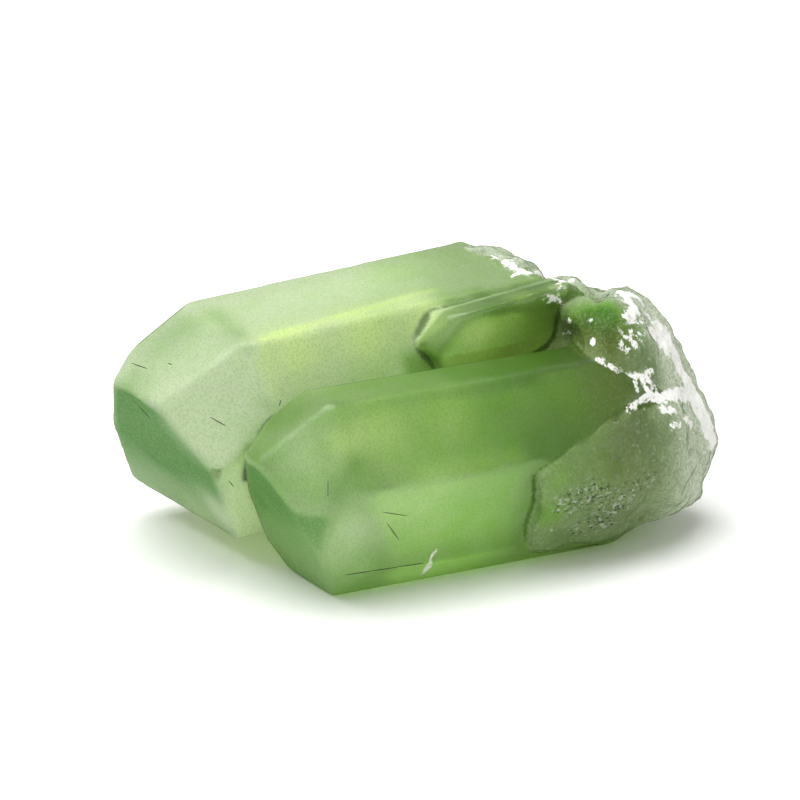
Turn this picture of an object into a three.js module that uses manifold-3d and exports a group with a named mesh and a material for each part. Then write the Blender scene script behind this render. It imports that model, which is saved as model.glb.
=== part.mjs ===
// A group of three peridot crystals grown side by side, joined at a rough broken end.
// Millimetres, +Z up. The crystals' tips point to -X, the broken end is at +X.
// Every crystal has the faces of olivine, named by their Miller indices, so the angles between them are the real ones.
import * as THREE from "three";
import { ConvexGeometry } from "three/addons/geometries/ConvexGeometry.js";
import { TessellateModifier } from "three/addons/modifiers/TessellateModifier.js";
import { ImprovedNoise } from "three/addons/math/ImprovedNoise.js";
import { mergeVertices } from "three/addons/utils/BufferGeometryUtils.js";
import Module from "manifold-3d";

const wasm = await Module();
wasm.setup();

// Edges of the olivine cell; only their ratios count
const CELL_A = 4.756;
const CELL_B = 10.207;
const CELL_C = 5.98;

// How far each crystal is leant, in degrees about X, Y and Z, and how far each face lies from the group's centre line
const BIG_CRYSTAL = {
  lean: [1.7, 0.2, 6.9],
  faces: [
    [[0, 1, 0], 12.91],
    [[1, 1, 0], 9.23],
    [[1, -1, 0], 1.1],
    [[0, -1, 0], -1.8],
    [[-1, 1, 0], 7.6],
    [[-1, -1, 0], 5.77],
    [[0, 2, 1], 17.83],
    [[0, -1, 1], 8.87],
    [[2, 1, 2], 13.0],
    [[1, 1, 1], 14.44],
    [[1, -1, 1], 8.94],
    [[-2, 1, 2], 13.8],
    [[-1, 1, 1], 14.14],
    [[-1, -1, 1], 11.5],
    [[-1, 3, 1], 15.48],
  ],
  breaks: [
    [[0.8, 0.1, 0.6], 11.9],
    [[0.85, 0.5, -0.1], 8.6],
    [[1, 0, 0], 10],
  ],
};
const FRONT_CRYSTAL = {
  lean: [-1.1, 1.6, 1.7],
  faces: [
    [[0, 1, 0], 10.43],
    [[1, 1, 0], 14.1],
    [[1, -1, 0], 8.68],
    [[1, -2, 0], 6.57],
    [[0, -1, 0], 0.1],
    [[-1, 1, 0], -2.82],
    [[-1, -1, 0], -4.2],
    [[0, 2, 1], 14.59],
    [[0, -1, 1], 7.85],
    [[2, 1, 2], 16.87],
    [[1, 1, 1], 17.35],
    [[1, -1, 1], 13.25],
    [[-2, 1, 2], 4.2],
    [[-1, 1, 1], 4.6],
    [[-1, -1, 1], 2.9],
  ],
  breaks: [
    [[0.22, -0.97, 0.1], 13.15],
    [[0.5, -0.1, 0.86], 12.55],
    [[0.75, -0.2, -0.63], 7.25],
    [[1, 0, 0], 9],
  ],
};
const SMALL_CRYSTAL = {
  lean: [-7.7, -4.8, 2.3],
  faces: [
    [[0, 1, 0], 11.79],
    [[1, 1, 0], 13.49],
    [[1, -1, 0], 3.09],
    [[0, -1, 0], -4.54],
    [[-1, 1, 0], -1.16],
    [[0, 2, 1], 9.03],
    [[0, -1, 1], -3.94],
    [[2, 1, 2], 8.57],
    [[1, 1, 1], 11.45],
    [[1, -1, 1], 3.22],
  ],
  breaks: [
    [[0.69, 0, 0.72], 13.6],
    [[1, 0, 0], 9],
  ],
};
// A low crystal in the furrow, which joins the big one to the front one
const FURROW_CRYSTAL = {
  lean: [0.3, 0.9, 4.3],
  faces: [
    [[0, 1, 0], 8.2],
    [[1, 1, 0], 11.5],
    [[1, -1, 0], 7.4],
    [[0, -1, 0], -0.9],
    [[-1, 1, 0], 1.4],
    [[-1, -1, 0], -3.0],
    [[0, 2, 1], 11.2],
    [[2, 1, 2], 12.4],
    [[-2, 1, 2], 7.4],
    [[0, -1, 1], 3.0],
  ],
  breaks: [[[1, 0, 0], 9]],
};

// Lumps of the broken end, each the hull of a few corner points
const FOOT_LUMP = [
  [0.8, -12.9, 5.8],
  [6.2, -11.8, 8.2],
  [8.6, -11.3, 8.1],
  [1.3, -10.0, 0.9],
  [1.2, -11.0, 2.2],
  [1.1, -11.9, 4.3],
  [5.6, -12.3, 4.2],
  [8.3, -11.9, 4.0],
  [10.8, -10.9, 3.9],
  [4.0, -10.1, 0.7],
  [7.4, -9.9, 0.7],
  [9.9, -9.7, 1.3],
  [12.4, -8.9, 1.4],
  [13.7, -8.2, 3.8],
  [13.4, -8.2, 4.9],
  [12.6, -8.0, 6.8],
  [13.0, -3.5, 2.0],
  [12.6, -3.0, 6.6],
  [4.0, -4.0, 7.0],
  [5.0, -4.0, 1.0],
];
const SHOULDER_LUMP = [
  [5.2, -10.2, 10.5],
  [7.8, -10.8, 9.2],
  [8.4, -11.0, 8.1],
  [7.3, -9.4, 11.9],
  [6.5, -8.8, 12.4],
  [10.2, -8.4, 10.0],
  [11.8, -8.6, 7.7],
  [13.0, -7.5, 7.0],
  [12.0, -6.5, 8.2],
  [11.2, -6.5, 10.0],
  [10.5, -6.3, 12.0],
  [9.5, -6.3, 12.7],
  [8.2, -6.7, 12.8],
  [12.4, -2.0, 7.4],
  [10.4, -2.0, 10.5],
  [6.0, -3.0, 10.0],
  [5.0, -7.0, 7.0],
];
const TOP_LUMP = [
  [4.2, -3.4, 12.6],
  [4.6, 1.6, 12.7],
  [5.7, -1.9, 13.4],
  [6.2, 0.4, 12.9],
  [6.7, -1.8, 12.9],
  [7.0, -1.9, 12.0],
  [7.6, -1.3, 11.2],
  [9.8, 1.6, 9.6],
  [5.0, 3.2, 12.1],
  [5.0, -4.0, 9.0],
  [9.0, -4.0, 8.0],
];
const PLATEAU_LUMP = [
  [5.9, -4.6, 12.9],
  [7.2, -3.6, 12.6],
  [7.6, -4.4, 12.8],
  [7.7, -5.2, 12.3],
  [5.4, -7.4, 12.0],
  [6.4, -8.4, 12.0],
  [5.6, -9.3, 10.8],
  [9.3, -3.6, 11.3],
  [10.2, -2.4, 10.5],
  [7.8, -1.0, 11.0],
  [5.0, -4.0, 9.0],
  [9.0, -4.0, 8.0],
  [10.0, 0.5, 8.5],
];
const BACK_LUMP = [
  [3.4, -5.0, -0.4],
  [4.2, 5.2, -0.5],
  [9.4, 5.6, -0.7],
  [11.2, -5.0, 0.2],
  [5.4, 8.0, 2.4],
  [5.6, 6.9, 5.6],
  [5.6, 4.9, 9.8],
  [9.4, 7.0, 2.4],
  [9.2, 6.0, 6.6],
  [12.2, 2.6, 3.2],
  [11.6, 2.0, 8.2],
  [13.2, -5.2, 3.6],
  [12.8, -4.8, 7.8],
  [8.3, 3.1, 10.9],
  [5.6, 3.4, 11.9],
];
// Fills the inside of the broken end
const CORE_LUMP = [
  [3.5, -8.0, 2.0],
  [3.5, 2.0, 2.2],
  [12.2, -7.2, 2.4],
  [12.0, 1.2, 2.6],
  [11.9, -7.7, 7.1],
  [11.4, 1.2, 7.8],
  [9.6, -6.4, 11.0],
  [9.4, 0.6, 10.4],
  [6.2, -7.4, 11.6],
  [7.4, 2.4, 11.1],
  [3.0, -6.0, 8.0],
  [3.0, 1.0, 9.0],
];

// The rough surface: longest side of a small facet, then the size, the depth and the shift of two layers of noise
const FACET = 1.15;
const FACET_ROUNDS = 9;
const HOLLOWS = { size: 2.6, depth: 0.32, shift: 3.7 };
const DENTS = { size: 0.95, depth: 0.12, shift: 11.3 };
// What sets apart the noise along Y and Z from the noise along X
const SHIFT_Y = 31;
const SHIFT_Z = 57;

// The group is turned a little, in degrees about X and Y, so that the front crystal's underside is level
const LEVEL_TURN = [1.1, -1.6, 0];

// The block below the floor that cuts the group flat
const FLOOR_SIDE = 80;
const FLOOR_DEEP = 10;

// Points nearer than this are one point
const WELD = 1e-4;
// Three planes whose normals span less than this don't meet in a point
const PARALLEL = 1e-6;

const PERIDOT_GREEN = 0x7fb455;
const PERIDOT_ROUGHNESS = 0.35;

const noise = new ImprovedNoise();

function toSolid(geometry) {
  const bare = geometry.clone();
  bare.deleteAttribute("normal");
  bare.deleteAttribute("uv");
  const merged = mergeVertices(bare, WELD);
  return new wasm.Manifold(
    new wasm.Mesh({
      numProp: 3,
      vertProperties: new Float32Array(merged.attributes.position.array),
      triVerts: new Uint32Array(merged.index.array),
    }),
  );
}

function turnOf(degrees) {
  const angles = new THREE.Vector3(...degrees).multiplyScalar(Math.PI / 180);
  return new THREE.Quaternion().setFromAxisAngle(angles.clone().normalize(), angles.length());
}

// The crystal's a axis points to -Y, b to +Z and c, the long one, to -X, before the lean
function facePlane([h, k, l], distance, turn) {
  const normal = new THREE.Vector3(-l / CELL_C, -h / CELL_A, k / CELL_B).normalize();
  return new THREE.Plane(normal.applyQuaternion(turn), -distance);
}

function meetingPoint(p, q, r) {
  const qr = new THREE.Vector3().crossVectors(q.normal, r.normal);
  const rp = new THREE.Vector3().crossVectors(r.normal, p.normal);
  const pq = new THREE.Vector3().crossVectors(p.normal, q.normal);
  const volume = p.normal.dot(qr);
  if (Math.abs(volume) < PARALLEL) {
    return null;
  }
  return qr
    .multiplyScalar(p.constant)
    .addScaledVector(rp, q.constant)
    .addScaledVector(pq, r.constant)
    .divideScalar(-volume);
}

// Corners are the points where three faces meet and that lie outside no other face
function crystal({ lean, faces, breaks }) {
  const turn = turnOf(lean);
  const planes = faces.map(([indices, distance]) => facePlane(indices, distance, turn));
  for (const [direction, distance] of breaks) {
    planes.push(new THREE.Plane(new THREE.Vector3(...direction).normalize(), -distance));
  }
  const corners = [];
  for (let i = 0; i < planes.length; i += 1) {
    for (let j = i + 1; j < planes.length; j += 1) {
      for (let k = j + 1; k < planes.length; k += 1) {
        const point = meetingPoint(planes[i], planes[j], planes[k]);
        if (point && planes.every((plane) => plane.distanceToPoint(point) < WELD)) {
          corners.push(point);
        }
      }
    }
  }
  return toSolid(new ConvexGeometry(corners).applyQuaternion(turnOf(LEVEL_TURN)));
}

function roughness(point, { size, depth, shift }) {
  const x = point.x / size + shift;
  const y = point.y / size;
  const z = point.z / size;
  const step = new THREE.Vector3(noise.noise(x, y, z), noise.noise(y + SHIFT_Y, z, x), noise.noise(z, x + SHIFT_Z, y));
  return step.multiplyScalar(depth * 2);
}

// A hull with small facets, whose points are moved by two sizes of smooth noise
function lump(corners) {
  const hull = new ConvexGeometry(corners.map((corner) => new THREE.Vector3(...corner)));
  hull.deleteAttribute("normal");
  const fine = new TessellateModifier(FACET, FACET_ROUNDS).modify(hull);
  const position = fine.attributes.position;
  for (let i = 0; i < position.count; i += 1) {
    const point = new THREE.Vector3().fromBufferAttribute(position, i);
    const moved = point.clone().add(roughness(point, HOLLOWS)).add(roughness(point, DENTS));
    position.setXYZ(i, moved.x, moved.y, moved.z);
  }
  return toSolid(fine.applyQuaternion(turnOf(LEVEL_TURN)));
}

const parts = [
  crystal(BIG_CRYSTAL),
  crystal(FRONT_CRYSTAL),
  crystal(SMALL_CRYSTAL),
  crystal(FURROW_CRYSTAL),
  lump(FOOT_LUMP),
  lump(SHOULDER_LUMP),
  lump(TOP_LUMP),
  lump(PLATEAU_LUMP),
  lump(BACK_LUMP),
  lump(CORE_LUMP),
];
const joined = parts.reduce((sum, part) => sum.add(part));
const below = new THREE.BoxGeometry(FLOOR_SIDE, FLOOR_SIDE, FLOOR_DEEP).translate(0, 0, -FLOOR_DEEP / 2);
const standing = joined.subtract(toSolid(below));

// Back to three's geometry, with the origin under the middle of the group
function toGeometry(solid) {
  const mesh = solid.getMesh();
  const geometry = new THREE.BufferGeometry();
  geometry.setAttribute("position", new THREE.BufferAttribute(new Float32Array(mesh.vertProperties), 3));
  geometry.setIndex(new THREE.BufferAttribute(new Uint32Array(mesh.triVerts), 1));
  geometry.computeBoundingBox();
  const { min, max } = geometry.boundingBox;
  geometry.translate(-(min.x + max.x) / 2, -(min.y + max.y) / 2, -min.z);
  const flat = geometry.toNonIndexed();
  flat.computeVertexNormals();
  return flat;
}

const peridot = new THREE.Mesh(
  toGeometry(standing),
  new THREE.MeshStandardMaterial({ color: PERIDOT_GREEN, roughness: PERIDOT_ROUGHNESS, metalness: 0 }),
);
peridot.name = "crystal_cluster";

const group = new THREE.Group();
group.name = "peridot_crystal";
group.add(peridot);

export default group;
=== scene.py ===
import math

import bmesh
import bpy
import numpy as np
from mathutils import Matrix, Vector
from mathutils.bvhtree import BVHTree


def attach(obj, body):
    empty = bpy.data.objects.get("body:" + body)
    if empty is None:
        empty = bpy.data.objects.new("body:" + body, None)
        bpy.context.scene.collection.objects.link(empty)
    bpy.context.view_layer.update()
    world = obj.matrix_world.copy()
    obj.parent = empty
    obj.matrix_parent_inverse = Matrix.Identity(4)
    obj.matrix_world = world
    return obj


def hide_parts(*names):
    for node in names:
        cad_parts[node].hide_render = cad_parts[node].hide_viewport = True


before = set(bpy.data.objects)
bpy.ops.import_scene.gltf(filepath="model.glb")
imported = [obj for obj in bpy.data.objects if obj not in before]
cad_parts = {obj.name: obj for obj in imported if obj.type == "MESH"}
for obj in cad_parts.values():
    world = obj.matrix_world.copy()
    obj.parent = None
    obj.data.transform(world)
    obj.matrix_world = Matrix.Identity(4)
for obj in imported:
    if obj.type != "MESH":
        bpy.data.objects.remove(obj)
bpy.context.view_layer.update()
mm = 0.001

# Colours, as seen
colours = {
    "paleFace": "#e9f7d2",
    "greenFace": "#9fe23f",
    "oliveFace": "#7a8c3a",
    # Painted shade on the faces that look down, green, and olive near the break
    "shadeFace": "#3a7a1c",
    # Painted glow of light through the crystals
    "glowFace": "#dff894",
    "oliveShadeFace": "#46561f",
    "brokenFace": "#a3b487",
    "stoneFace": "#6f8062",
    "darkStone": "#4c6140",
    "palestRim": "#e8ebde",
    # Painted shade where the faces turn away, also the colour of the dark grain dots
    "rimShadeAndDarkGrain": "#4f7036",
    "crust": "#f1f1ec",
    # Dark green of the painted shadow line and of the painted shade in creases, also the dark
    # crumbs
    "shadowLine": "#33481f",
    "needle": "#1d1f16",
    "floor": "#fbfbfa",
}


def toLinear(hexColour):
    # From an sRGB hex colour to the linear values that Blender works with
    values = [int(hexColour[i : i + 2], 16) / 255 for i in (1, 3, 5)]
    linear = [v / 12.92 if v <= 0.04045 else ((v + 0.055) / 1.055) ** 2.4 for v in values]
    return (*linear, 1.0)


def feed(tree, socket, value):
    # Links the socket to another node's output, or sets it to a constant
    if isinstance(value, bpy.types.NodeSocket):
        tree.links.new(value, socket)
    else:
        socket.default_value = value


def addNode(tree, kind, settings=None, values=None):
    node = tree.nodes.new(kind)
    for name, value in (settings or {}).items():
        setattr(node, name, value)
    for name, value in (values or {}).items():
        feed(tree, node.inputs[name], value)
    return node


def newMaterial(name):
    material = bpy.data.materials.new(name)
    material.use_nodes = True
    tree = material.node_tree
    tree.nodes.clear()
    output = tree.nodes.new("ShaderNodeOutputMaterial")
    return material, tree, output


# Camera: the photo's viewpoint, with a long lens

camera = {
    "azimuth": -28.8,
    "elevation": 18.27,
    "roll": 0.88,
    "target": (1.121 * mm, 2.537 * mm, 5.997 * mm),
    "distance": 260 * mm,
    "width": 40 * mm,
    "sensor": 36.0,
    "clipStart": 10 * mm,
    "clipEnd": 10.0,
    "photoSide": 800,
}


def cameraMatrix():
    azimuth = math.radians(camera["azimuth"])
    elevation = math.radians(camera["elevation"])
    back = Vector((
        math.sin(azimuth) * math.cos(elevation),
        -math.cos(azimuth) * math.cos(elevation),
        math.sin(elevation),
    ))
    right = Vector((math.cos(azimuth), math.sin(azimuth), 0))
    up = back.cross(right)
    turn = math.radians(camera["roll"])
    rolledRight = right * math.cos(turn) + up * math.sin(turn)
    rolledUp = up * math.cos(turn) - right * math.sin(turn)
    place = Vector(camera["target"]) + back * camera["distance"]
    matrix = Matrix((rolledRight, rolledUp, back)).transposed().to_4x4()
    matrix.translation = place
    return matrix


def makeCamera():
    data = bpy.data.cameras.new("camera")
    data.sensor_width = camera["sensor"]
    data.lens = camera["sensor"] * camera["distance"] / camera["width"]
    data.clip_start = camera["clipStart"]
    data.clip_end = camera["clipEnd"]
    obj = bpy.data.objects.new("camera", data)
    obj.matrix_world = cameraMatrix()
    bpy.context.scene.collection.objects.link(obj)
    bpy.context.scene.camera = obj
    print("camera", round(data.lens), "mm lens")


def pixelRay(pixel):
    matrix = cameraMatrix()
    side = camera["photoSide"]
    x = (pixel[0] - side / 2) / side * camera["width"]
    y = (side / 2 - pixel[1]) / side * camera["width"]
    aim = matrix.to_3x3() @ Vector((x, y, -camera["distance"]))
    return matrix.translation, aim.normalized()


# Mesh arrays

def meshPoints(mesh):
    points = np.empty(len(mesh.vertices) * 3, np.float32)
    mesh.vertices.foreach_get("co", points)
    return points.reshape(-1, 3).astype(float)


def movePoints(mesh, points):
    mesh.vertices.foreach_set("co", points.astype(np.float32).ravel())
    mesh.update()


def meshNormals(mesh):
    normals = np.empty(len(mesh.vertices) * 3, np.float32)
    mesh.vertex_normals.foreach_get("vector", normals)
    return normals.reshape(-1, 3).astype(float)


def meshEdges(mesh):
    edges = np.empty(len(mesh.edges) * 2, np.int32)
    mesh.edges.foreach_get("vertices", edges)
    return edges.reshape(-1, 2)


def neighbourMean(values, edges):
    # Mean of each point's neighbours along the edges
    count = np.bincount(edges.ravel(), minlength=len(values))
    columns = []
    for column in values.reshape(len(values), -1).T:
        total = np.bincount(edges[:, 0], column[edges[:, 1]], len(values))
        total += np.bincount(edges[:, 1], column[edges[:, 0]], len(values))
        columns.append(total / np.maximum(count, 1))
    return np.stack(columns, 1).reshape(values.shape)


def soften(values, edges, rounds):
    # In each round every value moves halfway to the mean of its neighbours
    for _ in range(rounds):
        values = values + 0.5 * (neighbourMean(values, edges) - values)
    return values


def smoothStep(values, low, high):
    t = np.clip((values - low) / (high - low), 0, 1)
    return t * t * (3 - 2 * t)


def segmentDistance(points, a, b):
    # Distance to the line from a to b. 1e-12 keeps a line without length from dividing by zero
    along = b - a
    t = np.clip((points - a) @ along / max(along @ along, 1e-12), 0, 1)
    return np.linalg.norm(points - a - t[:, None] * along, axis=1)


def latticeNoise(points, size, seed):
    # Value noise: random numbers at lattice corners, blended smoothly between them, from -1 to 1.
    # The random number of a corner comes from its place and the seed, multiplied by large primes
    # and mixed bit by bit. The seed also shifts the lattice
    p = points / size + seed * 17.3
    cell = np.floor(p).astype(np.int64)
    t = p - cell
    t = t * t * (3 - 2 * t)
    total = np.zeros(len(points))
    for corner in range(8):
        step = np.array([corner & 1, corner >> 1 & 1, corner >> 2 & 1])
        c = cell + step
        h = (c[:, 0] * 73856093) ^ (c[:, 1] * 19349663) ^ (c[:, 2] * 83492791) ^ (seed * 2654435761)
        h = (h ^ (h >> 13)) * 1274126177 & 0x7FFFFFFF
        weight = np.where(step == 1, t, 1 - t).prod(1)
        total += weight * ((h & 0xFFFF) / 32767.5 - 1)
    return total


def layeredNoise(points, size, seed, layers=3):
    # Each layer is half as wide and half as strong as the one before. The sum is brought back to
    # about -1 to 1
    total = np.zeros(len(points))
    for layer in range(layers):
        total += latticeNoise(points, size / 2**layer, seed + layer) / 2**layer
    return total / 1.6


def setAttribute(mesh, name, values):
    attribute = mesh.attributes.new(name, "FLOAT", "POINT")
    attribute.data.foreach_set("value", values.astype(np.float32))


def bakeModifiers(obj):
    graph = bpy.context.evaluated_depsgraph_get()
    mesh = bpy.data.meshes.new_from_object(obj.evaluated_get(graph))
    obj.modifiers.clear()
    obj.data = mesh


# Crystals

# Sizes in metres, counts plain. A pair is where a soft change starts and ends
shape = {
    "merge": 0.001 * mm,
    "voxel": 0.16 * mm,
    "edgeRounds": 12,
    "sameNormal": 0.9998,
    "sameReach": 0.02 * mm,
    "flatArea": 1.5 * mm * mm,
    "leastArea": 0.05 * mm * mm,
    "roughSize": 1.3 * mm,
    "roughDepth": 0.16 * mm,
    "pitSize": 0.5 * mm,
    "pitDepth": 0.12 * mm,
    "grainSize": 0.35 * mm,
    "grainDepth": 0.12 * mm,
    "grainSoft": (-0.3 * mm, 0.3 * mm),
    "fleckSoft": (-0.3 * mm, 0.5 * mm),
    "crustSize": 0.4 * mm,
    "crustDepth": 0.10 * mm,
    "crustSoft": 0.12 * mm,
    "crackSize": 3.0 * mm,
    "crackHalf": 0.25 * mm,
    "crackSlope": 0.5,
    "crackLimit": 2.0 * mm,
    "awaySoft": (0.5, 0.9),
    "restSoft": 0.4 * mm,
    "farLine": 5.0 * mm,
    "maskRounds": 3,
    "maskSoft": (0.25, 0.75),
    "toneRounds": 14,
    "creaseSoft": (0.003, 0.009),
}

seeds = {"cracks": 31, "rough": 3, "pits": 9, "crumbs": 21, "crust": 5}

# White crust in the cracks of the broken end: lines in the photo's pixels, half the width in
# metres
crustLines = [
    {
        "pixels": [
            (598, 359), (609, 367), (622, 373), (633, 376),
            (643, 375), (649, 381), (655, 391), (663, 395),
        ],
        "half": 0.13 * mm,
    },
    {"pixels": [(633, 376), (636, 385), (638, 390)], "half": 0.10 * mm},
    {"pixels": [(643, 376), (646, 387), (651, 394)], "half": 0.14 * mm},
    {"pixels": [(640, 374), (653, 372)], "half": 0.10 * mm},
    {"pixels": [(663, 397), (676, 392), (688, 394)], "half": 0.22 * mm},
    {
        "pixels": [(627, 409), (638, 402), (650, 397), (663, 397), (675, 398), (688, 400)],
        "half": 0.17 * mm,
    },
    {"pixels": [(652, 398), (658, 405), (664, 411), (672, 412)], "half": 0.12 * mm},
    {"pixels": [(672, 427), (679, 425)], "half": 0.10 * mm},
    {"pixels": [(684, 418), (692, 424)], "half": 0.14 * mm},
    {"pixels": [(612, 287), (622, 292), (630, 302), (635, 310), (628, 318)], "half": 0.28 * mm},
    {"pixels": [(625, 292), (638, 298), (643, 306)], "half": 0.12 * mm},
    {"pixels": [(645, 313), (650, 318)], "half": 0.12 * mm},
    {"pixels": [(652, 332), (658, 341), (666, 348)], "half": 0.38 * mm},
    {"pixels": [(657, 330), (668, 343), (675, 358), (682, 375), (687, 392)], "half": 0.50 * mm},
    {"pixels": [(687, 392), (697, 409), (706, 425), (713, 438)], "half": 0.55 * mm},
    {"pixels": [(619, 340), (621, 343)], "half": 0.06 * mm},
    {"pixels": [(632, 339), (637, 346)], "half": 0.08 * mm},
    {"pixels": [(629, 324), (632, 331)], "half": 0.07 * mm},
    {"pixels": [(491, 255), (496, 257)], "half": 0.05 * mm},
    {"pixels": [(503, 260), (512, 265), (519, 270), (529, 272), (541, 273)], "half": 0.12 * mm},
    {"pixels": [(511, 277), (519, 273), (527, 274)], "half": 0.10 * mm},
    {"pixels": [(552, 278), (564, 281), (573, 279)], "half": 0.09 * mm},
    {"pixels": [(558, 284), (566, 288)], "half": 0.06 * mm},
    {"pixels": [(525, 295), (529, 297)], "half": 0.04 * mm},
    {"pixels": [(548, 296), (556, 299), (562, 303)], "half": 0.07 * mm},
    {"pixels": [(564, 333), (571, 332)], "half": 0.03 * mm},
    {"pixels": [(566, 320), (568, 321)], "half": 0.04 * mm},
    {"pixels": [(590, 319), (592, 320)], "half": 0.05 * mm},
    {"pixels": [(592, 340), (594, 342)], "half": 0.05 * mm},
    {"pixels": [(436, 552), (431, 558), (429, 566), (424, 574)], "half": 0.07 * mm},
    {"pixels": [(145, 488), (146, 489)], "half": 0.04 * mm},
]

# Zones of sparse white flecks around the crust
fleckLines = [
    {"pixels": [(500, 258), (520, 268), (545, 276), (572, 282)], "half": 0.35 * mm},
    {"pixels": [(614, 292), (632, 302), (640, 320), (628, 342)], "half": 0.55 * mm},
    {"pixels": [(652, 318), (668, 345), (684, 380), (698, 410), (712, 438)], "half": 0.75 * mm},
    {"pixels": [(640, 378), (665, 400), (690, 420)], "half": 0.45 * mm},
    {"pixels": [(560, 286), (548, 300)], "half": 0.3 * mm},
]

# Painted shadow: a dark line where the foot of the broken end begins
shadowLines = [
    {
        "pixels": [
            (527, 551), (541, 552), (561, 550), (580, 547),
            (599, 544), (625, 538), (644, 530),
        ],
        "half": 0.03 * mm,
    },
]

# Patches of painted light and painted shade on the crystals (paler, darker, glowing), and patches
# of the break's own stony colour: a centre, or the two ends of a line, in the photo's pixels, the
# radius in metres, and how much paler, darker, more glowing or stonier the place is
lightShadeStonePatches = [
    {"pixel": (292, 352), "radius": 1.8 * mm, "pale": 0.90, "glow": 0.45},
    {"pixel": (330, 335), "radius": 1.2 * mm, "pale": 0.20},
    {"pixel": (300, 345), "radius": 1.8 * mm, "glow": 0.25},
    {"pixel": (365, 333), "radius": 1.9 * mm, "glow": 0.70},
    {"pixel": (420, 310), "radius": 1.6 * mm, "glow": 0.55},
    {"pixel": (520, 295), "radius": 1.2 * mm, "glow": 0.40},
    {"pixel": (480, 335), "radius": 1.0 * mm, "glow": 0.70},
    {"pixel": (380, 432), "radius": 1.9 * mm, "glow": 0.42},
    {"pixel": (450, 415), "radius": 1.9 * mm, "glow": 0.34},
    {"pixel": (345, 440), "radius": 1.0 * mm, "glow": 0.40},
    {"pixel": (195, 420), "radius": 1.5 * mm, "glow": 0.08},
    {"pixel": (150, 350), "to": (225, 318), "radius": 0.9 * mm, "dark": 0.16},
    {"pixel": (200, 512), "radius": 1.2 * mm, "glow": 0.30},
    {"pixel": (430, 318), "radius": 1.6 * mm, "pale": 0.25},
    {"pixel": (330, 280), "radius": 3.0 * mm, "pale": 0.15},
    {"pixel": (175, 335), "radius": 1.6 * mm, "dark": 0.25},
    {"pixel": (195, 425), "radius": 1.6 * mm, "pale": 0.50},
    {"pixel": (350, 535), "radius": 2.0 * mm, "pale": 0.34},
    {"pixel": (430, 500), "radius": 1.8 * mm, "pale": 0.20},
    {"pixel": (306, 458), "radius": 1.6 * mm, "pale": 0.15},
    {"pixel": (475, 338), "radius": 1.0 * mm, "pale": 0.60},
    {"pixel": (515, 332), "radius": 0.9 * mm, "pale": 0.30},
    {"pixel": (562, 286), "radius": 0.9 * mm, "pale": 0.70},
    {"pixel": (222, 515), "radius": 1.2 * mm, "pale": 1.20},
    {"pixel": (260, 500), "radius": 0.4 * mm, "dark": 0.30},
    {"pixel": (480, 296), "radius": 0.6 * mm, "dark": 0.35},
    {"pixel": (515, 288), "radius": 0.6 * mm, "dark": 0.30},
    {"pixel": (586, 318), "radius": 1.4 * mm, "dark": 1.10},
    {"pixel": (610, 345), "radius": 0.9 * mm, "dark": 0.50},
    {"pixel": (643, 352), "radius": 1.0 * mm, "stone": 0.9},
    {"pixel": (655, 372), "radius": 0.8 * mm, "stone": 0.9},
    {"pixel": (640, 425), "radius": 1.3 * mm, "stone": 0.8},
    {"pixel": (660, 445), "radius": 1.1 * mm, "stone": 0.5},
    {"pixel": (625, 318), "radius": 0.9 * mm, "stone": 0.6},
    {"pixel": (575, 500), "radius": 1.0 * mm, "stone": 0.7},
    {"pixel": (605, 520), "radius": 1.1 * mm, "stone": 0.7},
    {"pixel": (560, 535), "radius": 0.8 * mm, "stone": 0.6},
    {"pixel": (622, 385), "radius": 1.2 * mm, "dark": 0.40},
    {"pixel": (135, 425), "radius": 1.2 * mm, "dark": 0.30},
    {"pixel": (150, 440), "radius": 1.6 * mm, "dark": 0.35},
    {"pixel": (130, 395), "radius": 1.1 * mm, "dark": 0.45},
    {"pixel": (238, 333), "radius": 1.0 * mm, "dark": 0.35},
    {"pixel": (285, 412), "radius": 1.2 * mm, "dark": 0.30},
    {"pixel": (345, 430), "to": (355, 462), "radius": 0.45 * mm, "dark": 0.14},
    {"pixel": (355, 464), "to": (338, 492), "radius": 0.50 * mm, "dark": 0.18},
    {"pixel": (338, 492), "to": (322, 545), "radius": 0.45 * mm, "dark": 0.16},
    {"pixel": (252, 350), "to": (268, 405), "radius": 0.45 * mm, "dark": 0.25},
    {"pixel": (215, 312), "to": (247, 345), "radius": 0.55 * mm, "dark": 0.25},
    {"pixel": (135, 372), "to": (215, 455), "radius": 0.35 * mm, "dark": 0.18},
    {"pixel": (262, 348), "to": (273, 392), "radius": 0.40 * mm, "glow": 0.25},
    {"pixel": (262, 338), "to": (432, 290), "radius": 0.35 * mm, "glow": 0.35},
    {"pixel": (425, 478), "to": (520, 456), "radius": 0.60 * mm, "glow": 0.25},
    {"pixel": (262, 470), "radius": 1.4 * mm, "dark": 0.15},
    {"pixel": (100, 350), "radius": 1.6 * mm, "pale": 0.10},
    {"pixel": (590, 400), "radius": 2.2 * mm, "dark": 0.36},
    {"pixel": (560, 330), "radius": 1.4 * mm, "dark": 0.30},
    {"pixel": (612, 318), "radius": 1.2 * mm, "dark": 0.9},
    {"pixel": (445, 298), "radius": 0.9 * mm, "dark": 0.30},
    {"pixel": (425, 345), "radius": 0.6 * mm, "dark": 0.25},
    {"pixel": (615, 462), "radius": 1.9 * mm, "dark": 0.55},
    {"pixel": (550, 515), "radius": 0.9 * mm, "dark": 0.70},
    {"pixel": (562, 480), "radius": 0.9 * mm, "dark": 0.45},
]

# Grainy patch of small dark and light crumbs on the foot of the broken end
grainLines = [
    {"pixels": [(572, 505), (592, 498), (614, 506)], "half": 0.95 * mm},
    {"pixels": [(580, 528), (612, 520)], "half": 0.6 * mm},
    {"pixels": [(630, 490), (655, 480)], "half": 0.35 * mm},
]

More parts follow.
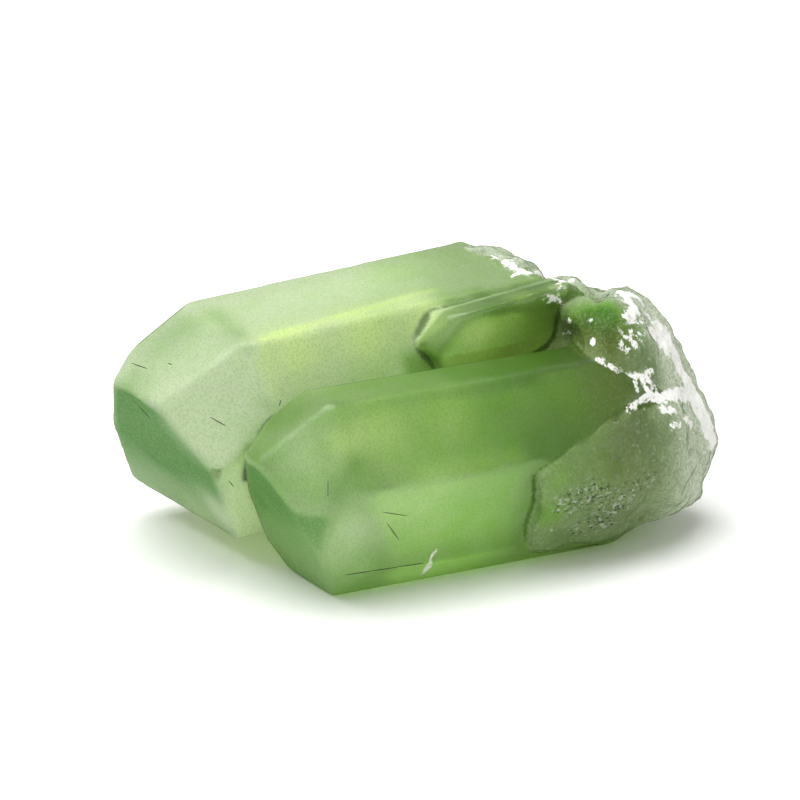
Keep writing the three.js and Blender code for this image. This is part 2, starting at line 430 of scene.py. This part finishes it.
# Where the tones change, in millimetres along the group, across it and up it. A pair is where a
# soft change starts and ends, and for the pale tones it is the tone at the tips and at the break
tones = {
    "paleAlong": (-12.0, 8.0),
    "bigPale": (0.95, 0.50),
    "frontPale": (0.46, 0.08),
    "smallPale": (0.75, 0.0),
    "paintedTopLight": 0.05,
    "topFaces": (0.90, 0.98),
    "brokenPale": 0.15,
    "rimPale": 0.75,
    "frontAcross": (2.3, 3.0),
    "frontLean": 0.35,
    "frontLevel": 3,
    "smallAcross": (3.3, 3.6),
    "smallUp": (9.0, 9.4),
    "smallAlong": (-2.5, -1.8),
    "ledgeAcross": (4.95, 5.2),
    "ledgeUp": (10.45, 10.65),
    "shadeDown": (0.05, 0.30),
    "shadeLeft": (0.30, 0.55),
    "shadeUp": (0.5, 6.0),
    "shadeLeast": 0.60,
    "oliveAlong": (0.0, 8.0),
    "oliveSooner": 4,
    "oliveLater": 3.0,
    "oliveLaterUp": 10.4,
    "oliveBig": 0.25,
    "oliveTopFade": 0.8,
    "oliveTop": (12.2, 12.9),
    "rimAlong": (8.5, 12.5),
    "rimLean": 0.12,
    "rimTopPart": 0.8,
    "rimTop": (11.0, 12.6),
    "darkOnPale": 0.5,
    "darkOnShade": 0.75,
    "darkOnFrost": 1.3,
    "paleOnShade": 0.5,
    "glowOnShade": 0.5,
}

# How the crystal passes and scatters light. A cover is how fully a tone hides what is under it
peridot = {
    "ior": 1.67,
    "absorbTint": (0.70, 0.90, 0.15),
    "absorbDensity": 72.0,
    "transmission": 0.96,
    "paleVeil": 0.40,
    "specular": 0.0,
    "faceRough": 0.36,
    "brokenRough": 0.60,
    "crustRough": 0.9,
    "brokenClear": 0.65,
    "glowClear": 0.6,
    "shadeClear": 0.35,
    "shadeCover": 0.95,
    "brokenCover": 0.75,
    "chipCover": 0.6,
    "crumbCover": 0.7,
    "creaseCover": 0.85,
    "creaseSolid": 0.7,
    "rimFacing": (0.72, 0.98),
    "rimCover": 0.95,
    "crustEdge": (0.07, 0.01),
    "shadowLineEdge": (0.06, -0.02),
    "chipBump": 0.22 * mm,
    "frostBump": 0.02 * mm,
    "frostStrength": 0.35,
}

# Noise in the material: the size, detail and roughness of the noise, the noise values between
# which a pattern changes, and what it gives at each of the two (0 and 1 unless it says so)
patterns = {
    "crustEdge": dict(size=0.45 * mm, detail=5.0, rough=0.75, span=(0.3, 0.7), gives=(-0.15, 0.15)),
    "crustHoles": dict(size=0.3 * mm, detail=5.0, rough=0.8, span=(0.36, 0.43), gives=(0.25, 1.0)),
    "specks": dict(size=0.45 * mm, detail=3.0, rough=0.6, span=(0.70, 0.73)),
    "flecks": dict(size=0.4 * mm, detail=5.0, rough=0.75, span=(0.55, 0.59)),
    "lightCrumbs": dict(size=0.22 * mm, detail=3.0, rough=0.6, span=(0.56, 0.62)),
    "darkCrumbs": dict(size=0.26 * mm, detail=3.0, rough=0.6, span=(0.45, 0.37)),
    "shadowLineEdge": dict(size=0.6 * mm, detail=3.0, rough=0.6, span=(0.3, 0.7), gives=(-0.02, 0.02)),
    "paleBands": dict(size=1.2 * mm, detail=3.0, rough=0.5, span=(0.3, 0.7), gives=(-0.10, 0.10)),
    "darkDots": dict(size=0.11 * mm, detail=2.0, rough=0.6, span=(0.42, 0.66), gives=(0.0, 0.22)),
    "paleDots": dict(size=0.13 * mm, detail=2.0, rough=0.6, span=(0.45, 0.72), gives=(0.0, 0.12)),
    "darkChips": dict(size=0.7 * mm, detail=6.0, rough=0.8, span=(0.50, 0.62)),
    "fineChips": dict(size=0.16 * mm, detail=3.0, rough=0.7, span=(0.42, 0.62), gives=(0.0, 0.5)),
    "lightChips": dict(size=0.35 * mm, detail=6.0, rough=0.8, span=(0.54, 0.64)),
    "sheen": dict(size=1.6 * mm, detail=3.0, rough=0.5, span=(0.3, 0.7), gives=(-0.03, 0.03)),
    "chipRelief": dict(size=0.7 * mm, detail=5.0, rough=0.7),
    "frostRelief": dict(size=0.12 * mm, detail=2.0, rough=0.6),
}


def mergedCopy(node, name):
    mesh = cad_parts[node].data.copy()
    mesh.materials.clear()
    work = bmesh.new()
    work.from_mesh(mesh)
    bmesh.ops.remove_doubles(work, verts=work.verts, dist=shape["merge"])
    work.to_mesh(mesh)
    work.free()
    obj = bpy.data.objects.new(name, mesh)
    bpy.context.scene.collection.objects.link(obj)
    return obj


def flatFaces(mesh):
    # The planes that hold more than flatArea of the solid, and for each polygon the number of the
    # plane that it lies in, or -1. The largest polygons are taken first
    normals = np.array([p.normal for p in mesh.polygons])
    reaches = np.array([p.normal.dot(p.center) for p in mesh.polygons])
    areas = np.array([p.area for p in mesh.polygons])
    centres = np.array([p.center for p in mesh.polygons])
    owner = np.full(len(mesh.polygons), -1)
    planes = []
    for index in np.argsort(-areas):
        if owner[index] >= 0 or areas[index] < shape["leastArea"]:
            continue
        same = normals @ normals[index] > shape["sameNormal"]
        same &= np.abs(centres @ normals[index] - reaches[index]) < shape["sameReach"]
        if areas[same].sum() > shape["flatArea"]:
            owner[same & (owner < 0)] = len(planes)
            planes.append((normals[index], reaches[index]))
    return planes, owner


def snapToFaces(points, planes, owner, tree):
    # Moves each point near a crystal face onto the face's plane. Also gives 1 for points on a
    # break, else 0
    broken = np.ones(len(points))
    snapped = points.copy()
    for index, point in enumerate(points):
        plane = owner[tree.find_nearest(Vector(point))[2]]
        if plane >= 0:
            normal, reach = planes[plane]
            snapped[index] = point - (point @ normal - reach) * normal
            broken[index] = 0.0
    return snapped, broken


def lineDistance(points, lines, tree):
    # Distance to the nearest line, less half its width
    best = np.full(len(points), shape["farLine"])
    for line in lines:
        hits = [tree.ray_cast(*pixelRay(pixel))[0] for pixel in line["pixels"]]
        places = [np.array(hit) for hit in hits if hit is not None]
        for a, b in zip(places[:-1], places[1:]):
            best = np.minimum(best, segmentDistance(points, a, b) - line["half"])
    return best


def crackDistance(points, normals, broken):
    # Veins of crust where a wide noise crosses zero, on the side of the break that the photo
    # doesn't show
    away = smoothStep(normals[:, 0] + normals[:, 1], *shape["awaySoft"])
    noise = np.abs(layeredNoise(points, shape["crackSize"], seeds["cracks"]))
    cracks = noise * shape["crackSize"] - shape["crackHalf"]
    return cracks * shape["crackSlope"] + (2 - away - broken) * shape["crackLimit"]


def surfaceRelief(points, broken, crust, grain):
    # Height above the smooth surface: swells, pits and crust on the break, and crumbs on its
    # foot. All of it fades towards the ground that the group rests on
    rough = layeredNoise(points, shape["roughSize"], seeds["rough"]) * shape["roughDepth"]
    pits = -np.abs(layeredNoise(points, shape["pitSize"], seeds["pits"])) * shape["pitDepth"]
    crumbs = layeredNoise(points, shape["grainSize"], seeds["crumbs"], 2) * shape["grainDepth"]
    lumps = 0.5 + layeredNoise(points, shape["crustSize"], seeds["crust"])
    onCrust = np.clip(1 - crust / shape["crustSoft"], 0, 1) * broken
    lift = (rough + pits) * broken + crumbs * grain + onCrust * shape["crustDepth"] * lumps
    return lift * np.clip(points[:, 2] / shape["restSoft"], 0, 1)


def patchTones(points, tree):
    # Each patch of painted light, painted shade or stone colour fades as a bell curve with the
    # distance from its centre, or from the line between its ends
    totals = {name: np.zeros(len(points)) for name in ("pale", "dark", "glow", "stone")}
    for patch in lightShadeStonePatches:
        pixels = (patch["pixel"], patch.get("to", patch["pixel"]))
        ends = [tree.ray_cast(*pixelRay(pixel))[0] for pixel in pixels]
        if None in ends:
            continue
        distance = segmentDistance(points, *np.array(ends))
        bell = np.exp(-((distance / patch["radius"]) ** 2))
        for name, total in totals.items():
            total += patch.get(name, 0.0) * bell
    return totals


def faceTones(points, normals, broken):
    # How pale, how olive and how shaded each point is, and how near the break's rim. Pale falls
    # along the group from the tips to the break, and is strongest on the big crystal at the back.
    # Olive rises towards the break, and fades again at its far rim. Shaded, with painted shade, are
    # the faces of the tips that look down: there the light crosses the crystals lengthwise
    x, y, z = (points / mm).T
    front = smoothStep(-(y + tones["frontLean"] * (z - tones["frontLevel"])), *tones["frontAcross"])
    small = smoothStep(-y, *tones["smallAcross"]) * smoothStep(z, *tones["smallUp"])
    small = small * smoothStep(x, *tones["smallAlong"])
    ledge = smoothStep(-y, *tones["ledgeAcross"]) * (1 - smoothStep(z, *tones["ledgeUp"]))
    small = small * (1 - ledge)

    along = smoothStep(x, *tones["paleAlong"])
    pale = np.zeros(len(points))
    for part, weight in (("bigPale", 1), ("frontPale", front), ("smallPale", small)):
        tip, end = tones[part]
        pale = pale + weight * (tip * (1 - along) + end * along - pale)

    # Painted shade on the faces that look down and to the left, weaker near the ground
    down = smoothStep(-normals[:, 2], *tones["shadeDown"])
    shade = down * smoothStep(-normals[:, 0], *tones["shadeLeft"])
    least = tones["shadeLeast"]
    shade = shade * (least + (1 - least) * smoothStep(z, *tones["shadeUp"]))

    start, end = tones["oliveAlong"]
    sooner = tones["oliveSooner"] * small
    later = tones["oliveLater"] * small * (z > tones["oliveLaterUp"])
    big = tones["oliveBig"]
    olive = smoothStep(x - later, start - sooner, end - sooner)
    olive = olive * (big + (1 - big) * np.maximum(front, small))
    olive = olive * (1 - tones["oliveTopFade"] * smoothStep(z, *tones["oliveTop"]))

    rimSide = smoothStep(x + tones["rimLean"] * z, *tones["rimAlong"])
    rimTop = tones["rimTopPart"] * smoothStep(z, *tones["rimTop"])
    rim = np.maximum(rimSide, rimTop) * broken
    # Painted light: the faces that look up are a little paler
    pale = pale + tones["paintedTopLight"] * smoothStep(normals[:, 2], *tones["topFaces"]) * (1 - front)
    pale = pale * (1 - broken) + (tones["brokenPale"] + tones["rimPale"] * rim) * broken
    return np.clip(pale, 0, 1), np.clip(olive * (1 - rim), 0, 1), shade, rim


def makeCrystals():
    solid = mergedCopy("crystal_cluster", "cadSurface")
    planes, owner = flatFaces(solid.data)
    tree = BVHTree.FromObject(solid, bpy.context.evaluated_depsgraph_get())
    obj = mergedCopy("crystal_cluster", "peridotCrystals")
    remesh = obj.modifiers.new("even", "REMESH")
    remesh.mode = "VOXEL"
    remesh.voxel_size = shape["voxel"]
    bakeModifiers(obj)
    mesh = obj.data
    edges = meshEdges(mesh)

    # Flat faces with softly rounded edges, and a mask of what is broken
    points, broken = snapToFaces(meshPoints(mesh), planes, owner, tree)
    points = soften(points, edges, shape["edgeRounds"])
    broken = smoothStep(soften(broken, edges, shape["maskRounds"]), *shape["maskSoft"])
    movePoints(mesh, points)
    normals = meshNormals(mesh)
    # Painted shade in creases: how far each point lies in a hollow, where the crystals meet
    bend = ((neighbourMean(points, edges) - points) * normals).sum(1) / mm
    crease = smoothStep(bend, *shape["creaseSoft"]) * (1 - broken)

    # Relief of the break
    crust = lineDistance(points, crustLines, tree)
    crust = np.minimum(crust, crackDistance(points, normals, broken))
    shadowLine = lineDistance(points, shadowLines, tree)
    grain = 1 - smoothStep(lineDistance(points, grainLines, tree), *shape["grainSoft"])
    flecks = 1 - smoothStep(lineDistance(points, fleckLines, tree), *shape["fleckSoft"])
    points = points + normals * surfaceRelief(points, broken, crust, grain)[:, None]
    points[:, 2] = np.maximum(points[:, 2], 0)
    movePoints(mesh, points)
    mesh.shade_smooth()

    # Tones
    pale, olive, shade, rim = faceTones(points, normals, broken)
    # Patches: pale and glow are painted light, dark is painted shade, stone is the break's own
    # colour
    patch = patchTones(points, tree)
    dark = patch["dark"]
    glow = np.clip(patch["glow"], 0, 1) * (1 - broken)
    shade = soften(shade, edges, shape["toneRounds"]) + tones["darkOnShade"] * dark
    shade = shade - tones["paleOnShade"] * patch["pale"] - tones["glowOnShade"] * glow
    attributes = {
        "broken": broken,
        "frosted": broken * (1 - np.clip(tones["darkOnFrost"] * dark, 0, 1)),
        "crustMm": crust / mm,
        "shadowLineMm": shadowLine / mm,
        "grain": grain,
        "flecks": flecks,
        "pale": np.clip(pale + patch["pale"] - tones["darkOnPale"] * dark, 0, 1),
        "olive": olive,
        "shade": np.clip(shade, 0, 1),
        "rim": np.clip(rim - dark, 0, 1),
        "crease": crease,
        "glow": glow,
        "stone": np.clip(patch["stone"], 0, 1),
    }
    for name, values in attributes.items():
        setAttribute(mesh, name, values)

    bpy.data.objects.remove(solid)
    corners = [tuple(polygon.vertices) for polygon in mesh.polygons]
    surface = BVHTree.FromPolygons([Vector(point) for point in points], corners)
    print("crystals", len(mesh.vertices), "points,", len(planes), "flat faces")
    return obj, surface


def peridotMaterial():
    # Frosted olive-green crystal: light passes through and comes out yellow-green, the deeper the
    # darker. The break is dull and stony, with white crust in its cracks
    material, tree, output = newMaterial("frosted peridot")
    coordinates = addNode(tree, "ShaderNodeTexCoord").outputs["Object"]

    def attribute(name):
        return addNode(tree, "ShaderNodeAttribute", {"attribute_name": name}).outputs["Fac"]

    def noise(name):
        look = patterns[name]
        return addNode(tree, "ShaderNodeTexNoise", None, {
            "Vector": coordinates,
            "Scale": 1 / look["size"],
            "Detail": look["detail"],
            "Roughness": look["rough"],
        }).outputs["Fac"]

    def remap(value, low, high, toLow=0.0, toHigh=1.0):
        return addNode(
            tree,
            "ShaderNodeMapRange",
            {"interpolation_type": "SMOOTHSTEP"},
            {"Value": value, "From Min": low, "From Max": high, "To Min": toLow, "To Max": toHigh},
        ).outputs["Result"]

    def pattern(name):
        look = patterns[name]
        return remap(noise(name), *look["span"], *look.get("gives", (0.0, 1.0)))

    def maths(operation, a, b):
        clamp = operation == "MULTIPLY"
        node = addNode(tree, "ShaderNodeMath", {"operation": operation, "use_clamp": clamp})
        for socket, value in zip(node.inputs, (a, b)):
            feed(tree, socket, value)
        return node.outputs[0]

    def mix(factor, a, b):
        # Inputs 6 and 7 of the mix node are its two colours, and output 2 is the mixed colour
        node = addNode(tree, "ShaderNodeMix", {"data_type": "RGBA"})
        for socket, value in zip((node.inputs[0], node.inputs[6], node.inputs[7]), (factor, a, b)):
            feed(tree, socket, value)
        return node.outputs[2]

    def cover(under, factor, name):
        return mix(factor, under, toLinear(colours[name]))

    broken = attribute("broken")
    grain = attribute("grain")

    # White crust with ragged edges and holes, white flecks, and the painted shadow line
    crustPlace = maths("ADD", attribute("crustMm"), pattern("crustEdge"))
    crust = maths("MULTIPLY", remap(crustPlace, *peridot["crustEdge"]), pattern("crustHoles"))
    specks = maths("MULTIPLY", pattern("specks"), attribute("frosted"))
    flecks = maths("MULTIPLY", pattern("flecks"), attribute("flecks"))
    white = maths("MAXIMUM", maths("MAXIMUM", crust, specks), flecks)
    lightCrumbs = maths("MULTIPLY", pattern("lightCrumbs"), grain)
    darkCrumbs = maths("MULTIPLY", pattern("darkCrumbs"), grain)
    # Painted shadow line under the foot of the break
    shadowLine = remap(maths("ADD", attribute("shadowLineMm"), pattern("shadowLineEdge")), *peridot["shadowLineEdge"])

    # Crystal faces, from pale at the tips to olive at the break, with painted glow and painted
    # shade
    pale = maths("ADD", attribute("pale"), pattern("paleBands"))
    colour = cover(toLinear(colours["greenFace"]), pale, "paleFace")
    colour = cover(colour, attribute("olive"), "oliveFace")
    colour = cover(colour, attribute("glow"), "glowFace")
    # Painted shade: darker green on the faces that look down, olive-dark near the break
    shadeColour = cover(toLinear(colours["shadeFace"]), attribute("olive"), "oliveShadeFace")
    colour = mix(maths("MULTIPLY", attribute("shade"), peridot["shadeCover"]), colour, shadeColour)
    colour = cover(colour, pattern("darkDots"), "rimShadeAndDarkGrain")
    colour = cover(colour, pattern("paleDots"), "paleFace")

    # Break: dark and light chips of stone
    stone = cover(toLinear(colours["brokenFace"]), attribute("rim"), "palestRim")
    stone = cover(stone, attribute("stone"), "stoneFace")
    darkChips = maths("MULTIPLY", pattern("darkChips"), peridot["chipCover"])
    stone = cover(stone, darkChips, "darkStone")
    stone = cover(stone, pattern("fineChips"), "darkStone")
    lightChips = maths("MULTIPLY", pattern("lightChips"), peridot["chipCover"])
    stone = cover(stone, lightChips, "palestRim")
    colour = mix(maths("MULTIPLY", attribute("frosted"), peridot["brokenCover"]), colour, stone)

    # Painted shade where the surface turns away from the view, in creases and along the shadow line
    # under the foot. Crumbs and white on top
    facing = addNode(tree, "ShaderNodeLayerWeight", None, {"Blend": 0.5}).outputs["Facing"]
    # Painted shade on the faces seen at a grazing angle
    turned = remap(facing, *peridot["rimFacing"], 0.0, peridot["rimCover"])
    colour = cover(colour, turned, "rimShadeAndDarkGrain")
    # Painted shade in the creases
    colour = cover(colour, maths("MULTIPLY", attribute("crease"), peridot["creaseCover"]), "shadowLine")
    colour = cover(colour, shadowLine, "shadowLine")
    # The dark crumbs take the same dark green as the painted shadow line
    colour = cover(colour, darkCrumbs, "shadowLine")
    colour = cover(colour, maths("MULTIPLY", lightCrumbs, peridot["crumbCover"]), "crust")
    colour = cover(colour, white, "crust")

    # Roughness, and how much light passes through
    roughness = remap(broken, 0, 1, peridot["faceRough"], peridot["brokenRough"])
    roughness = maths("ADD", roughness, pattern("sheen"))
    roughness = maths("MAXIMUM", roughness, maths("MULTIPLY", white, peridot["crustRough"]))
    clearest = peridot["transmission"]
    clear = remap(attribute("pale"), 0, 1, clearest, clearest - peridot["paleVeil"])
    for name in ("broken", "glow", "shade"):
        clear = maths("MULTIPLY", clear, remap(attribute(name), 0, 1, 1.0, peridot[name + "Clear"]))
    # Creases let no light through, so the painted shade in them shows
    creases = maths("MULTIPLY", attribute("crease"), peridot["creaseSolid"])
    solidPlaces = maths("MAXIMUM", maths("MAXIMUM", white, shadowLine), creases)
    through = maths("MULTIPLY", clear, remap(solidPlaces, 0, 1, 1.0, 0.0))

    chips = addNode(tree, "ShaderNodeBump", None, {
        "Strength": broken,
        "Distance": peridot["chipBump"],
        "Height": noise("chipRelief"),
    })
    frost = addNode(tree, "ShaderNodeBump", None, {
        "Strength": peridot["frostStrength"],
        "Distance": peridot["frostBump"],
        "Height": noise("frostRelief"),
        "Normal": chips.outputs["Normal"],
    })
    surface = addNode(tree, "ShaderNodeBsdfPrincipled", None, {
        "Base Color": colour,
        "Roughness": roughness,
        "IOR": peridot["ior"],
        "Specular IOR Level": peridot["specular"],
        "Transmission Weight": through,
        "Normal": frost.outputs["Normal"],
    })
    inside = addNode(tree, "ShaderNodeVolumeAbsorption", None, {
        "Color": (*peridot["absorbTint"], 1.0),
        "Density": peridot["absorbDensity"],
    })
    tree.links.new(surface.outputs[0], output.inputs["Surface"])
    tree.links.new(inside.outputs[0], output.inputs["Volume"])
    return material


# Needles

# Black needles on and just inside the faces, ends in the photo's pixels. Each ring has its place
# along the needle and its width, both as a part of the whole
needles = {
    "ends": [
        ((131, 363), (148, 369)),
        ((123, 388), (137, 404)),
        ((138, 405), (150, 418)),
        ((210, 417), (226, 426)),
        ((279, 406), (281, 400)),
        ((229, 481), (234, 487)),
        ((328, 480), (328, 510)),
        ((320, 578), (346, 575)),
        ((344, 575), (372, 571)),
        ((370, 571), (398, 567)),
        ((396, 567), (424, 563)),
        ((382, 512), (408, 516)),
        ((387, 523), (399, 540)),
        ((168, 363), (172, 365)),
    ],
    "radius": 0.022 * mm,
    "sides": 6,
    "lift": 0.004 * mm,
    "rings": [(0.0, 0.15), (0.15, 0.8), (0.5, 1.0), (0.85, 0.8), (1.0, 0.15)],
    "rough": 0.45,
}


def oneNeedle(a, b, normal):
    # A thin needle with flat sides, thickest in the middle and pointed at both ends
    along = (b - a).normalized()
    side = along.cross(normal).normalized()
    lift = side.cross(along)
    sides = needles["sides"]
    points = []
    for t, width in needles["rings"]:
        centre = a.lerp(b, t) + normal * needles["lift"]
        radius = needles["radius"] * width
        for k in range(sides):
            angle = 2 * math.pi * k / sides
            across = side * math.cos(angle) * radius
            points.append(centre + across + lift * math.sin(angle) * radius)
    lastRing = (len(needles["rings"]) - 1) * sides
    faces = [tuple(range(sides - 1, -1, -1)), tuple(lastRing + k for k in range(sides))]
    for low in range(0, lastRing, sides):
        for k in range(sides):
            nextK = (k + 1) % sides
            faces.append((low + k, low + nextK, low + sides + nextK, low + sides + k))
    return points, faces


def makeNeedles(tree):
    points = []
    faces = []
    for first, last in needles["ends"]:
        start, normal, _, _ = tree.ray_cast(*pixelRay(first))
        end = tree.ray_cast(*pixelRay(last))[0]
        if start is None or end is None:
            continue
        base = len(points)
        needlePoints, needleFaces = oneNeedle(start, end, normal)
        points += needlePoints
        faces += [tuple(base + k for k in face) for face in needleFaces]
    mesh = bpy.data.meshes.new("needles")
    mesh.from_pydata([tuple(point) for point in points], [], faces)
    mesh.shade_smooth()
    obj = bpy.data.objects.new("needles", mesh)
    bpy.context.scene.collection.objects.link(obj)
    print("needles", len(mesh.polygons), "faces")
    return obj


def needleMaterial():
    # Black mineral: thin dark strokes with a faint shine
    material, tree, output = newMaterial("black needle mineral")
    surface = addNode(tree, "ShaderNodeBsdfPrincipled", None, {
        "Base Color": toLinear(colours["needle"]),
        "Roughness": needles["rough"],
    })
    tree.links.new(surface.outputs[0], output.inputs["Surface"])
    return material


# Studio: an overhead softbox and a fill from the front left. Lengths in metres, angles in degrees

studio = {
    "floorSide": 3.0,
    "floorDrop": 0.01 * mm,
    "floorRough": 0.7,
    "floorSpecular": 0.2,
    "world": 0.38,
    "fillPower": 0.80,
    "fillAngle": 90.0,
    "fillPlace": (-0.30, -0.42, 0.22),
    "sunPower": 3.2,
    "sunAngle": 60.0,
    "sunPlace": (-0.12, 0.02, 0.42),
    "bounces": 24,
    "glossyBounces": 8,
}


def addLight(name, power, angle, place):
    data = bpy.data.lights.new(name, "SUN")
    data.energy = power
    data.angle = math.radians(angle)
    light = bpy.data.objects.new(name, data)
    light.location = place
    light.rotation_euler = (-Vector(place)).to_track_quat("-Z", "Y").to_euler()
    bpy.context.scene.collection.objects.link(light)


def tableMaterial():
    # White table: a bright plain ground that takes the green light and the soft shadow
    material, tree, output = newMaterial("white table")
    surface = addNode(tree, "ShaderNodeBsdfPrincipled", None, {
        "Base Color": toLinear(colours["floor"]),
        "Roughness": studio["floorRough"],
        "Specular IOR Level": studio["floorSpecular"],
    })
    tree.links.new(surface.outputs[0], output.inputs["Surface"])
    return material


def makeStudio():
    side = studio["floorSide"]
    mesh = bpy.data.meshes.new("floor")
    corners = [(-side, -side, 0), (side, -side, 0), (side, side, 0), (-side, side, 0)]
    mesh.from_pydata(corners, [], [(0, 1, 2, 3)])
    mesh.materials.append(tableMaterial())
    floor = bpy.data.objects.new("floor", mesh)
    bpy.context.scene.collection.objects.link(floor)
    floor.location.z = -studio["floorDrop"]

    world = bpy.data.worlds.new("studio")
    bpy.context.scene.world = world
    world.use_nodes = True
    background = world.node_tree.nodes["Background"]
    background.inputs["Color"].default_value = (1, 1, 1, 1)
    background.inputs["Strength"].default_value = studio["world"]

    addLight("softbox", studio["sunPower"], studio["sunAngle"], studio["sunPlace"])
    addLight("fill", studio["fillPower"], studio["fillAngle"], studio["fillPlace"])

    scene = bpy.context.scene
    scene.view_settings.view_transform = "Standard"
    scene.cycles.max_bounces = studio["bounces"]
    scene.cycles.transmission_bounces = studio["bounces"]
    scene.cycles.glossy_bounces = studio["glossyBounces"]
    print("studio: white table, softbox and fill")


makeCamera()
crystals, surfaceTree = makeCrystals()
crystals.data.materials.append(peridotMaterial())
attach(crystals, "root")
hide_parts("crystal_cluster")
needleSet = makeNeedles(surfaceTree)
needleSet.data.materials.append(needleMaterial())
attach(needleSet, "root")
makeStudio()
